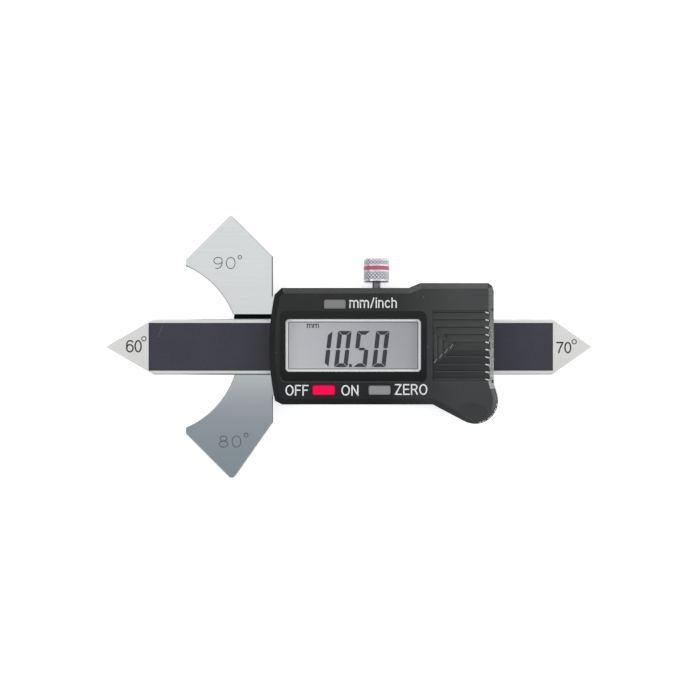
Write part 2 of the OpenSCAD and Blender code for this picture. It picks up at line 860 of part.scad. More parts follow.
module lock_screw() {
    g = knob_y1 - ring_drop - ring_h;
    tip = beam_y + edge_gap + gib_t + 2 * screw_gap;
    color("#8e9297")
    translate([lock_x, 0, axis_z])
        rotate([-90, 0, 0])
            rotate_extrude($fn = 96)
                polygon([
                    [0, tip],
                    [0.37 * thread_d, tip],
                    [thread_d / 2, tip + 0.13 * thread_d],
                    [thread_d / 2, knob_y0],
                    [0.43 * knob_d, knob_y0],
                    [knob_d / 2, knob_y0 + 0.07 * knob_d],
                    [knob_d / 2, g],
                    [0.43 * knob_d, g],
                    [0.43 * knob_d, g + ring_h],
                    [knob_d / 2, g + ring_h],
                    [knob_d / 2, knob_y1 - 0.1 * knob_d],
                    [0.39 * knob_d, knob_y1],
                    [0, knob_y1],
                ]);
}

module lock_ring() {
    g = knob_y1 - ring_drop - ring_h;
    color("#c23a5e")
    translate([lock_x, g + screw_gap / 2, axis_z])
        rotate([-90, 0, 0])
            difference() {
                cylinder(h = ring_h - screw_gap, d = knob_d - screw_gap, $fn = 96);
                translate([0, 0, -1])
                    cylinder(h = ring_h + 2, d = 0.86 * knob_d + 2 * screw_gap, $fn = 96);
            }
}

slider_frame();
gib_strip();
gib_screws();
beam();
scale_board();
scale_film();
circuit_board();
controller_blob();
switch_domes();
connector_strips();
lcd_panel();
lcd_frame();
display_lens();
housing();
board_screws();
housing_screws();
unit_button();
power_button();
zero_button();
cell_contact_minus();
cell_contact_plus();
button_cell();
battery_cover();
lock_screw();
lock_ring();
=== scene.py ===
import math
import bpy
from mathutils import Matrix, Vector


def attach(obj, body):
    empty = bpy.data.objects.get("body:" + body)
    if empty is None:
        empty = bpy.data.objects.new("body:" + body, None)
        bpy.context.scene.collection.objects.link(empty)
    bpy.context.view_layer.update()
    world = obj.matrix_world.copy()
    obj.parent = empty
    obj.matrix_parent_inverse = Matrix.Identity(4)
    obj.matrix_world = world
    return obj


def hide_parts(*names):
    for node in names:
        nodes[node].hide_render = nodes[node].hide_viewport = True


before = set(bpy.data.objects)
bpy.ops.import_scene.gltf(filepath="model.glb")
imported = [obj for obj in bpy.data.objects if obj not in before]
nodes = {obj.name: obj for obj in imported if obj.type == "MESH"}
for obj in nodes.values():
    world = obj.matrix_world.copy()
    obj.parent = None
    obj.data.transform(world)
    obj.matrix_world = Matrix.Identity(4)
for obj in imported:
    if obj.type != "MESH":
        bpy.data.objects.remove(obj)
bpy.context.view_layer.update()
mm = 0.001
print("frame loaded,", len(nodes), "nodes")


def linear(code):
    channels = [int(code[i:i + 2], 16) / 255 for i in (1, 3, 5)]
    return tuple(c / 12.92 if c <= 0.04045 else ((c + 0.055) / 1.055) ** 2.4 for c in channels) + (1.0,)


def addNode(tree, kind, settings=None, links=None):
    node = tree.nodes.new(kind)
    for key, value in (settings or {}).items():
        if isinstance(key, int) or key in node.inputs:
            node.inputs[key].default_value = value
        else:
            setattr(node, key, value)
    for key, source in (links or {}).items():
        tree.links.new(source, node.inputs[key])
    return node


def startMaterial(name, look):
    material = bpy.data.materials.new(name)
    material.use_nodes = True
    tree = material.node_tree
    shader = tree.nodes["Principled BSDF"]
    for key, value in look.items():
        shader.inputs[key].default_value = value
    place = addNode(tree, "ShaderNodeTexCoord").outputs["Object"]
    return material, tree, shader, place


def deselectAll():
    if bpy.context.object and bpy.context.object.mode != "OBJECT":
        bpy.ops.object.mode_set(mode="OBJECT")
    bpy.ops.object.select_all(action="DESELECT")


def pickFaces(piece, test):
    bpy.ops.object.mode_set(mode="EDIT")
    bpy.ops.mesh.select_mode(type="FACE")
    bpy.ops.mesh.select_all(action="DESELECT")
    bpy.ops.object.mode_set(mode="OBJECT")
    for face in piece.data.polygons:
        face.select = test(face)
    bpy.ops.object.mode_set(mode="EDIT")


def pickEdges(piece, test):
    bpy.ops.object.mode_set(mode="EDIT")
    bpy.ops.mesh.select_mode(type="EDGE")
    bpy.ops.mesh.select_all(action="DESELECT")
    bpy.ops.object.mode_set(mode="OBJECT")
    points = piece.data.vertices
    for edge in piece.data.edges:
        edge.select = test(edge.vertices, points[edge.vertices[0]].co, points[edge.vertices[1]].co)
    bpy.ops.object.mode_set(mode="EDIT")


def settle(piece, name, body, material):
    deselectAll()
    bpy.context.view_layer.objects.active = piece
    piece.select_set(True)
    bpy.ops.object.transform_apply(location=True, rotation=True, scale=True)
    piece.name = name
    piece.data.name = name
    piece.data.materials.clear()
    piece.data.materials.append(material)
    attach(piece, body)
    return piece


# ground tool steel: fine straight grit lines, satin; milled sides rougher and painted darker as shade, the
# slideway painted near black as the shade in the gap
groundSteel = {"tint": "#cecfcf", "dark": "#c8caca", "gloss": (0.15, 0.21), "relief": 0.02, "cloud": 9.0,
               "side": "#686b6e", "way": "#14181b", "milled": 0.5,
               "sideLow": 0.3, "sideHigh": 5.5, "wayHalf": 9.6,
               "lineLength": 25.0,
               "lineWidth": 0.22}  # drawn coarser than the real 0.05 mm grit so that it shows
armSteel, tree, shader, place = startMaterial("ground tool steel", {"Metallic": 1.0})
grit = addNode(tree, "ShaderNodeMapping",
               {"Scale": (1 / (groundSteel["lineLength"] * mm), 1 / (groundSteel["lineWidth"] * mm),
                          1 / (groundSteel["lineWidth"] * mm))}, {"Vector": place})
lines = addNode(tree, "ShaderNodeTexNoise", {"Scale": 1.0, "Detail": 3.0, "Roughness": 0.65},
                {"Vector": grit.outputs["Vector"]})
clouds = addNode(tree, "ShaderNodeTexNoise", {"Scale": 1 / (groundSteel["cloud"] * mm), "Detail": 2.0},
                 {"Vector": place})
both = addNode(tree, "ShaderNodeMath", {"operation": "MULTIPLY_ADD", 1: 0.3},
               {0: clouds.outputs["Fac"], 2: lines.outputs["Fac"]})
share = addNode(tree, "ShaderNodeMapRange", {"From Min": 0.45, "From Max": 0.85},
                {"Value": both.outputs["Value"]})
tint = addNode(tree, "ShaderNodeMix", {"data_type": "RGBA", 6: linear(groundSteel["tint"]),
                                       7: linear(groundSteel["dark"])}, {0: share.outputs["Result"]})
axes = addNode(tree, "ShaderNodeSeparateXYZ", None, {"Vector": place})
above = addNode(tree, "ShaderNodeMath", {"operation": "GREATER_THAN", 1: groundSteel["sideLow"] * mm},
                {0: axes.outputs["Z"]})
below = addNode(tree, "ShaderNodeMath", {"operation": "LESS_THAN", 1: groundSteel["sideHigh"] * mm},
                {0: axes.outputs["Z"]})
between = addNode(tree, "ShaderNodeMath", {"operation": "MULTIPLY"},
                  {0: above.outputs["Value"], 1: below.outputs["Value"]})
fromMiddle = addNode(tree, "ShaderNodeMath", {"operation": "ABSOLUTE"}, {0: axes.outputs["Y"]})
inWay = addNode(tree, "ShaderNodeMath", {"operation": "LESS_THAN", 1: groundSteel["wayHalf"] * mm},
                {0: fromMiddle.outputs["Value"]})
# painted shade: the milled sides darker, the slideway near black
sides = addNode(tree, "ShaderNodeMix", {"data_type": "RGBA", 6: linear(groundSteel["side"]),
                                        7: linear(groundSteel["way"])}, {0: inWay.outputs["Value"]})
sideShaded = addNode(tree, "ShaderNodeMix", {"data_type": "RGBA"},
                {0: between.outputs["Value"], 6: tint.outputs[2], 7: sides.outputs[2]})
sheen = addNode(tree, "ShaderNodeMapRange",
                {"To Min": groundSteel["gloss"][0], "To Max": groundSteel["gloss"][1]},
                {"Value": lines.outputs["Fac"]})
relief = addNode(tree, "ShaderNodeBump", {"Strength": 0.02, "Distance": groundSteel["relief"] * mm},
                 {"Height": lines.outputs["Fac"]})
milled = addNode(tree, "ShaderNodeMath", {"operation": "MULTIPLY_ADD", 1: groundSteel["milled"]},
                 {0: between.outputs["Value"], 2: sheen.outputs["Result"]})
tree.links.new(sideShaded.outputs[2], shader.inputs["Base Color"])
tree.links.new(milled.outputs["Value"], shader.inputs["Roughness"])
tree.links.new(relief.outputs["Normal"], shader.inputs["Normal"])

# stainless beam, satin chromed: paler and softer than the arms, its edges and chamfers painted a little
# darker as shade
satinBeam = {"tint": "#e9e6e2", "dark": "#dedbd7", "chamfer": "#d2d5d7", "gloss": (0.38, 0.5),
             "flat": 0.9,  # faces that look up less than this are edges and chamfers
             "lineLength": 8.0, "lineWidth": 0.3}  # drawn coarser than the real 0.05 mm grit so that it shows
beamSteel, tree, shader, place = startMaterial("satin chromed stainless", {"Metallic": 1.0})
grit = addNode(tree, "ShaderNodeMapping",
               {"Scale": (1 / (satinBeam["lineLength"] * mm), 1 / (satinBeam["lineWidth"] * mm),
                          1 / (satinBeam["lineWidth"] * mm))}, {"Vector": place})
lines = addNode(tree, "ShaderNodeTexNoise", {"Scale": 1.0, "Detail": 2.0}, {"Vector": grit.outputs["Vector"]})
tint = addNode(tree, "ShaderNodeMix", {"data_type": "RGBA", 6: linear(satinBeam["tint"]),
                                       7: linear(satinBeam["dark"])}, {0: lines.outputs["Fac"]})
facing = addNode(tree, "ShaderNodeSeparateXYZ", None,
                 {"Vector": addNode(tree, "ShaderNodeNewGeometry").outputs["Normal"]})
tilted = addNode(tree, "ShaderNodeMath", {"operation": "LESS_THAN", 1: satinBeam["flat"]},
                 {0: facing.outputs["Z"]})
# painted shade: faces that turn away from up take the darker chamfer colour
chamferShaded = addNode(tree, "ShaderNodeMix", {"data_type": "RGBA", 7: linear(satinBeam["chamfer"])},
                {0: tilted.outputs["Value"], 6: tint.outputs[2]})
sheen = addNode(tree, "ShaderNodeMapRange",
                {"To Min": satinBeam["gloss"][0], "To Max": satinBeam["gloss"][1]},
                {"Value": lines.outputs["Fac"]})
tree.links.new(chamferShaded.outputs[2], shader.inputs["Base Color"])
tree.links.new(sheen.outputs["Result"], shader.inputs["Roughness"])

# gib of blued spring steel: dark, a little oily
gibLook = {"pale": "#101416", "deep": "#0a0d0e", "stain": 1.5, "roughness": 0.34}
bluedSteel, tree, shader, place = startMaterial("blued spring steel",
                                                {"Metallic": 1.0, "Roughness": gibLook["roughness"]})
stain = addNode(tree, "ShaderNodeTexNoise", {"Scale": 1 / (gibLook["stain"] * mm), "Detail": 3.0},
                {"Vector": place})
tint = addNode(tree, "ShaderNodeMix", {"data_type": "RGBA", 6: linear(gibLook["pale"]),
                                       7: linear(gibLook["deep"])}, {0: stain.outputs["Fac"]})
tree.links.new(tint.outputs[2], shader.inputs["Base Color"])

# plated steel: zinc on the screws, bright; nickel on the knurled head, tinted a little mauve as painted light
# name, pale, deep, size of the wear in mm, gloss
platedLooks = {"screw": ("zinc plated screw steel", "#b9bbb8", "#8f9294", 0.25, (0.22, 0.4)),
               "knurl": ("nickel plated knurled steel", "#f6f3f9", "#dcd7e0", 0.5, (0.26, 0.38))}
plated = {}
for key, (name, pale, deep, size, gloss) in platedLooks.items():
    plated[key], tree, shader, place = startMaterial(name, {"Metallic": 1.0})
    wear = addNode(tree, "ShaderNodeTexNoise", {"Scale": 1 / (size * mm), "Detail": 2.0}, {"Vector": place})
    tint = addNode(tree, "ShaderNodeMix", {"data_type": "RGBA", 6: linear(pale), 7: linear(deep)},
                   {0: wear.outputs["Fac"]})
    sheen = addNode(tree, "ShaderNodeMapRange", {"To Min": gloss[0], "To Max": gloss[1]},
                    {"Value": wear.outputs["Fac"]})
    tree.links.new(tint.outputs[2], shader.inputs["Base Color"])
    tree.links.new(sheen.outputs["Result"], shader.inputs["Roughness"])

# printed scale film: polyester, dark violet grey, matt with a fine toner speckle
filmLook = {"dark": "#36343d", "pale": "#413f4a", "gloss": (0.5, 0.62), "cloud": 11.0,
            "speckle": 0.35}  # drawn coarser than the real 0.05 mm so that it shows
filmPrint, tree, shader, place = startMaterial("matt printed polyester film",
                                               {"IOR": 1.6, "Specular IOR Level": 0.25})
speckle = addNode(tree, "ShaderNodeTexNoise", {"Scale": 1 / (filmLook["speckle"] * mm), "Detail": 3.0},
                  {"Vector": place})
clouds = addNode(tree, "ShaderNodeTexNoise", {"Scale": 1 / (filmLook["cloud"] * mm), "Detail": 1.0},
                 {"Vector": place})
both = addNode(tree, "ShaderNodeMath", {"operation": "MULTIPLY_ADD", 1: 0.5},
               {0: clouds.outputs["Fac"], 2: speckle.outputs["Fac"]})
share = addNode(tree, "ShaderNodeMapRange", {"From Min": 0.5, "From Max": 1.0},
                {"Value": both.outputs["Value"]})
tint = addNode(tree, "ShaderNodeMix", {"data_type": "RGBA", 6: linear(filmLook["dark"]),
                                       7: linear(filmLook["pale"])}, {0: share.outputs["Result"]})
sheen = addNode(tree, "ShaderNodeMapRange", {"To Min": filmLook["gloss"][0], "To Max": filmLook["gloss"][1]},
                {"Value": speckle.outputs["Fac"]})
tree.links.new(tint.outputs[2], shader.inputs["Base Color"])
tree.links.new(sheen.outputs["Result"], shader.inputs["Roughness"])

# black ABS from a spark eroded mould: painted lighter towards the right as painted light, specks of dust, a
# painted highlight on the right end's facet
absLooks = {  # name, black, lighter tone painted towards the right, where that painted light starts and is full, gloss
    "housing": ("moulded black ABS", "#060606", "#3d3d3d", 10.0, 34.0, (0.18, 0.28)),
    # the battery cover's black is painted lighter all over: painted light
    "cover": ("handled black ABS", "#2a2a2a", "#3a3a3a", 20.0, 42.0, (0.2, 0.3)),
}
absDetail = {"cloud": 8.0, "dust": "#7d7d7b", "dustCell": 3.2, "dustSize": 0.035, "relief": 0.03,
             "grain": 0.3}  # grain drawn coarser than the real 0.1 mm so that it shows
# the pale right end facet is a painted highlight, patchy and paler downwards
facetHighlight = {"upper": "#585855", "lower": "#b4b4b0", "upperY": 12.0, "lowerY": -10.5, "endY": -11.6,
            "rightward": (0.4, 0.62), "upward": (0.2, 0.5), "patch": (0.35, 0.62), "least": 0.3, "speck": 0.6}
blackAbs = {}
for key, (name, black, rubbed, litFrom, litTo, gloss) in absLooks.items():
    blackAbs[key], tree, shader, place = startMaterial(name, {"IOR": 1.53, "Specular IOR Level": 0.31})
    grain = addNode(tree, "ShaderNodeTexNoise", {"Scale": 1 / (absDetail["grain"] * mm), "Detail": 2.0},
                    {"Vector": place})
    clouds = addNode(tree, "ShaderNodeTexNoise", {"Scale": 1 / (absDetail["cloud"] * mm), "Detail": 2.0},
                     {"Vector": place})
    axes = addNode(tree, "ShaderNodeSeparateXYZ", None, {"Vector": place})
    # painted light: the black turns lighter towards the right
    along = addNode(tree, "ShaderNodeMapRange", {"From Min": litFrom * mm, "From Max": litTo * mm},
                    {"Value": axes.outputs["X"]})
    patchy = addNode(tree, "ShaderNodeMath", {"operation": "MULTIPLY_ADD", 1: 0.25},
                     {0: clouds.outputs["Fac"], 2: along.outputs["Result"]})
    tint = addNode(tree, "ShaderNodeMix", {"data_type": "RGBA", 6: linear(black), 7: linear(rubbed)},
                   {0: patchy.outputs["Value"]})
    cells = addNode(tree, "ShaderNodeTexVoronoi", {"Scale": 1 / (absDetail["dustCell"] * mm)},
                    {"Vector": place})
    speck = addNode(tree, "ShaderNodeMath", {"operation": "LESS_THAN", 1: absDetail["dustSize"]},
                    {0: cells.outputs["Distance"]})
    dusty = addNode(tree, "ShaderNodeMix", {"data_type": "RGBA", 7: linear(absDetail["dust"])},
                    {0: speck.outputs["Value"], 6: tint.outputs[2]})
    normal = addNode(tree, "ShaderNodeNewGeometry").outputs["Normal"]
    facing = addNode(tree, "ShaderNodeSeparateXYZ", None, {"Vector": normal})
    rightward = addNode(tree, "ShaderNodeMapRange",
                        {"From Min": facetHighlight["rightward"][0], "From Max": facetHighlight["rightward"][1]},
                        {"Value": facing.outputs["X"]})
    upward = addNode(tree, "ShaderNodeMapRange",
                     {"From Min": facetHighlight["upward"][0], "From Max": facetHighlight["upward"][1]},
                     {"Value": facing.outputs["Z"]})
    edge = addNode(tree, "ShaderNodeMath", {"operation": "MULTIPLY"},
                   {0: rightward.outputs["Result"], 1: upward.outputs["Result"]})
    over = addNode(tree, "ShaderNodeMath", {"operation": "GREATER_THAN", 1: facetHighlight["endY"] * mm},
                   {0: axes.outputs["Y"]})
    ended = addNode(tree, "ShaderNodeMath", {"operation": "MULTIPLY"},
                    {0: edge.outputs["Value"], 1: over.outputs["Value"]})
    facetMottle = addNode(tree, "ShaderNodeTexNoise", {"Scale": 1 / (facetHighlight["speck"] * mm), "Detail": 3.0},
                     {"Vector": place})
    patches = addNode(tree, "ShaderNodeMapRange",
                      {"From Min": facetHighlight["patch"][0], "From Max": facetHighlight["patch"][1],
                       "To Min": facetHighlight["least"]}, {"Value": facetMottle.outputs["Fac"]})
    worn = addNode(tree, "ShaderNodeMath", {"operation": "MULTIPLY"},
                   {0: ended.outputs["Value"], 1: patches.outputs["Result"]})
    down = addNode(tree, "ShaderNodeMapRange",
                   {"From Min": facetHighlight["upperY"] * mm, "From Max": facetHighlight["lowerY"] * mm},
                   {"Value": axes.outputs["Y"]})
    facetTint = addNode(tree, "ShaderNodeMix", {"data_type": "RGBA", 6: linear(facetHighlight["upper"]),
                                               7: linear(facetHighlight["lower"])}, {0: down.outputs["Result"]})
    # painted highlight on the right end facet
    facetHighlighted = addNode(tree, "ShaderNodeMix", {"data_type": "RGBA"},
                      {0: worn.outputs["Value"], 6: dusty.outputs[2], 7: facetTint.outputs[2]})
    sheen = addNode(tree, "ShaderNodeMapRange", {"To Min": gloss[0], "To Max": gloss[1]},
                    {"Value": grain.outputs["Fac"]})
    relief = addNode(tree, "ShaderNodeBump", {"Strength": 0.22, "Distance": absDetail["relief"] * mm},
                     {"Height": grain.outputs["Fac"]})
    tree.links.new(facetHighlighted.outputs[2], shader.inputs["Base Color"])
    tree.links.new(sheen.outputs["Result"], shader.inputs["Roughness"])
    tree.links.new(relief.outputs["Normal"], shader.inputs["Normal"])

# lens pane: clear acrylic, anti glare coated, so it only adds a weak sheen with a few wipe marks
paneLook = {"tint": "#f4f6f8", "alpha": 0.02, "wipe": 6.0, "gloss": (0.25, 0.4)}
clearLens, tree, shader, place = startMaterial("anti glare acrylic", {"Base Color": linear(paneLook["tint"]),
                                                                      "Alpha": paneLook["alpha"]})
wipes = addNode(tree, "ShaderNodeTexNoise", {"Scale": 1 / (paneLook["wipe"] * mm), "Detail": 3.0},
                {"Vector": place})
sheen = addNode(tree, "ShaderNodeMapRange", {"To Min": paneLook["gloss"][0], "To Max": paneLook["gloss"][1]},
                {"Value": wipes.outputs["Fac"]})
tree.links.new(sheen.outputs["Result"], shader.inputs["Roughness"])

# lens border: the same acrylic over black back printing, glossy, a little smeared
maskLook = {"deep": "#060607", "pale": "#0a0a0b", "smear": 11.0, "gloss": (0.1, 0.2)}
lensMask, tree, shader, place = startMaterial("acrylic over black printing",
                                              {"IOR": 1.49, "Specular IOR Level": 0.24})
smear = addNode(tree, "ShaderNodeTexNoise", {"Scale": 1 / (maskLook["smear"] * mm), "Detail": 1.0},
                {"Vector": place})
tint = addNode(tree, "ShaderNodeMix", {"data_type": "RGBA", 6: linear(maskLook["deep"]),
                                       7: linear(maskLook["pale"])}, {0: smear.outputs["Fac"]})
sheen = addNode(tree, "ShaderNodeMapRange", {"To Min": maskLook["gloss"][0], "To Max": maskLook["gloss"][1]},
                {"Value": smear.outputs["Fac"]})
tree.links.new(tint.outputs[2], shader.inputs["Base Color"])
tree.links.new(sheen.outputs["Result"], shader.inputs["Roughness"])

# LCD: grey reflective polariser, darker towards the right: painted shade
lcdLook = {"left": "#c9c8cb", "right": "#a8a7ab", "from": -16.9, "to": 19.5, "dot": 0.4, "mottle": 0.12}
lcdGlass, tree, shader, place = startMaterial("LCD polariser film", {"IOR": 1.5, "Roughness": 0.45})
axes = addNode(tree, "ShaderNodeSeparateXYZ", None, {"Vector": place})
across = addNode(tree, "ShaderNodeMapRange",
                 {"From Min": lcdLook["from"] * mm, "From Max": lcdLook["to"] * mm},
                 {"Value": axes.outputs["X"]})
dots = addNode(tree, "ShaderNodeTexNoise", {"Scale": 1 / (lcdLook["dot"] * mm), "Detail": 1.0},
               {"Vector": place})
mixed = addNode(tree, "ShaderNodeMath", {"operation": "MULTIPLY_ADD", 1: lcdLook["mottle"]},
                {0: dots.outputs["Fac"], 2: across.outputs["Result"]})
tint = addNode(tree, "ShaderNodeMix", {"data_type": "RGBA", 6: linear(lcdLook["left"]),
                                       7: linear(lcdLook["right"])}, {0: mixed.outputs["Value"]})
tree.links.new(tint.outputs[2], shader.inputs["Base Color"])

# rim round the LCD: white ABS with a small glow, painted light that brightens it
rimLook = {"pale": "#fbfbfa", "deep": "#f0f0ee", "milk": 2.0, "light": "#ffffff", "glow": 0.14}
paleRim, tree, shader, place = startMaterial("moulded white ABS", {
    "IOR": 1.53, "Roughness": 0.38, "Emission Color": linear(rimLook["light"]),
    "Emission Strength": rimLook["glow"]})
milky = addNode(tree, "ShaderNodeTexNoise", {"Scale": 1 / (rimLook["milk"] * mm), "Detail": 2.0},
                {"Vector": place})
tint = addNode(tree, "ShaderNodeMix", {"data_type": "RGBA", 6: linear(rimLook["pale"]),
                                       7: linear(rimLook["deep"])}, {0: milky.outputs["Fac"]})
tree.links.new(tint.outputs[2], shader.inputs["Base Color"])

# button caps: coloured ABS, fine grain, matt; the red glows a little, painted light that brightens it
# name, pale, deep, glow
buttonLooks = {"greyAbs": ("moulded grey ABS", "#9d9d9d", "#949494", 0.0),
               # the unit button is a little darker than the zero button
               "darkerGreyAbs": ("handled grey ABS", "#8d8d8d", "#848484", 0.0),
               # the red's glow is painted light
               "redAbs": ("moulded red ABS", "#ff0050", "#fa004c", 0.14)}
buttonDetail = {"gloss": (0.4, 0.52), "relief": 0.02, "softened": 0.16, "softAngle": 40,
                "grain": 0.4}  # grain drawn coarser than the real 0.1 mm so that it shows
buttonAbs = {}
for key, (name, pale, deep, glow) in buttonLooks.items():
    buttonAbs[key], tree, shader, place = startMaterial(name, {
        "IOR": 1.53, "Specular IOR Level": 0.1, "Emission Color": linear(pale), "Emission Strength": glow})
    grain = addNode(tree, "ShaderNodeTexNoise", {"Scale": 1 / (buttonDetail["grain"] * mm), "Detail": 2.0},
                    {"Vector": place})
    tint = addNode(tree, "ShaderNodeMix", {"data_type": "RGBA", 6: linear(pale), 7: linear(deep)},
                   {0: grain.outputs["Fac"]})
    sheen = addNode(tree, "ShaderNodeMapRange",
                    {"To Min": buttonDetail["gloss"][0], "To Max": buttonDetail["gloss"][1]},
                    {"Value": grain.outputs["Fac"]})
    relief = addNode(tree, "ShaderNodeBump", {"Strength": 0.15, "Distance": buttonDetail["relief"] * mm},
                     {"Height": grain.outputs["Fac"]})
    tree.links.new(tint.outputs[2], shader.inputs["Base Color"])
    tree.links.new(sheen.outputs["Result"], shader.inputs["Roughness"])
    tree.links.new(relief.outputs["Normal"], shader.inputs["Normal"])

# enamel, inks, a scratch, painted highlights and shade, and the pieces inside: each a colour with its own
# small mottle
# name, pale, deep, size of the mottle in mm, what is the same all over
plainLooks = {
    "redEnamel": ("baked red enamel", "#d05f7e", "#c04e70", 0.4, {"Roughness": 0.4, "IOR": 1.5}),
    "whiteInk": ("white pad printing ink", "#ffffff", "#f2f2f2", 0.25, {"Roughness": 0.5}),
    "blackInk": ("black screen printing ink", "#1c2126", "#2a2f34", 0.3, {"Roughness": 0.55}),
    # painted shade in the engraved cuts
    "engraveShade": ("engraved stroke, blackened", "#4c5154", "#666b6e", 0.3, {"Roughness": 0.6}),
    "lcdInk": ("dark LCD segment", "#2a2830", "#322f38", 0.5, {"Roughness": 0.6, "Specular IOR Level": 0.1}),
    # painted shadow at the polariser's edge
    "lcdEdgeShade": ("LCD seal line", "#2b2a2d", "#38373a", 0.5, {"Roughness": 0.6, "Specular IOR Level": 0.1}),
    # also paints the shadows where the cover's upper steps meet the arrow
    "filmEdge": ("film edge ink", "#121114", "#1c1a1f", 0.4, {"Roughness": 0.5}),
    "scratch": ("scratch in the film", "#7b7984", "#67656f", 0.3, {"Roughness": 0.4}),
    # painted shade on the neck under the head
    "neckShadeSteel": ("blackened screw steel", "#75717b", "#5b5962", 0.3, {"Metallic": 1.0, "Roughness": 0.15}),
    # tinted a little mauve as painted light
    "nickelPlate": ("turned nickel plate", "#dcd8e0", "#c6c2cb", 0.4, {"Metallic": 1.0, "Roughness": 0.5}),
    # painted shade in the knurl's grooves
    "knurlShade": ("grime in the knurl", "#66626e", "#4c4953", 0.3, {"Roughness": 0.7}),
    # painted highlight along the cover arrow's edge and the lobe's slope
    "greyHighlight": ("ABS rubbed grey", "#8f8f8c", "#7a7a77", 0.3, {"Roughness": 0.6}),
    # painted highlight on the lens's edge
    "lensGlint": ("cut edge of the acrylic", "#5e5e60", "#4a4a4c", 0.6, {"Roughness": 0.5}),
    # painted highlight on the cover's lower crests
    "crestHighlight": ("ABS polished by the thumb", "#4c4c4a", "#40403e", 0.4, {"Roughness": 0.5}),
    # painted highlight on the step ends and the lobe's rim
    "paleHighlight": ("ABS worn pale", "#efefec", "#cfcfcb", 0.3, {"Roughness": 0.6}),
    "laminate": ("glass epoxy board, green resist", "#1d5a38", "#236b43", 0.6, {"Roughness": 0.35}),
    "resin": ("black potting resin", "#121214", "#1d1d20", 0.8, {"Roughness": 0.25}),
    "rubber": ("zebra connector rubber", "#2a2a2b", "#6b6b68", 0.2, {"Roughness": 0.7}),
    "bronze": ("nickel plated bronze strip", "#c6b98f", "#b3a67c", 0.5, {"Metallic": 1.0, "Roughness": 0.3}),
    "cellCan": ("drawn nickel cell can", "#c9c9c6", "#b4b4b2", 0.7, {"Metallic": 1.0, "Roughness": 0.25}),
}
plain = {}
for key, (name, pale, deep, size, look) in plainLooks.items():
    plain[key], tree, shader, place = startMaterial(name, look)
    mottle = addNode(tree, "ShaderNodeTexNoise", {"Scale": 1 / (size * mm), "Detail": 2.0}, {"Vector": place})
    tint = addNode(tree, "ShaderNodeMix", {"data_type": "RGBA", 6: linear(pale), 7: linear(deep)},
                   {0: mottle.outputs["Fac"]})
    tree.links.new(tint.outputs[2], shader.inputs["Base Color"])
print("materials made:", len(bpy.data.materials))

# the CAD nodes keep their shapes and take these finishes
finishes = {
    "slider_frame": armSteel, "beam": beamSteel, "gib_strip": bluedSteel, "gib_screws": plated["screw"],
    "board_screws": plated["screw"], "housing_screws": plated["screw"], "lock_ring": plain["redEnamel"],
    "lock_screw": plated["knurl"], "scale_board": plain["laminate"], "circuit_board": plain["laminate"],
    "scale_film": filmPrint, "controller_blob": plain["resin"], "switch_domes": plain["bronze"],
    "connector_strips": plain["rubber"], "lcd_panel": lcdGlass, "lcd_frame": paleRim,
    "display_lens": clearLens, "housing": blackAbs["housing"], "battery_cover": blackAbs["cover"],
    "unit_button": buttonAbs["darkerGreyAbs"], "zero_button": buttonAbs["greyAbs"],
    "power_button": buttonAbs["redAbs"], "cell_contact_minus": plain["bronze"],
    "cell_contact_plus": plain["bronze"], "button_cell": plain["cellCan"],
}
for name, material in finishes.items():
    if not nodes[name].material_slots:
        nodes[name].data.materials.append(material)
    for holder in nodes[name].material_slots:
        holder.material = material
for name in ("unit_button", "power_button", "zero_button"):  # the moulded caps have softened edges
    softened = nodes[name].modifiers.new("softened", "BEVEL")
    softened.width = buttonDetail["softened"] * mm
    softened.segments = 2
    softened.limit_method = "ANGLE"
    softened.angle_limit = math.radians(buttonDetail["softAngle"])
print("CAD nodes dressed:", len(finishes))

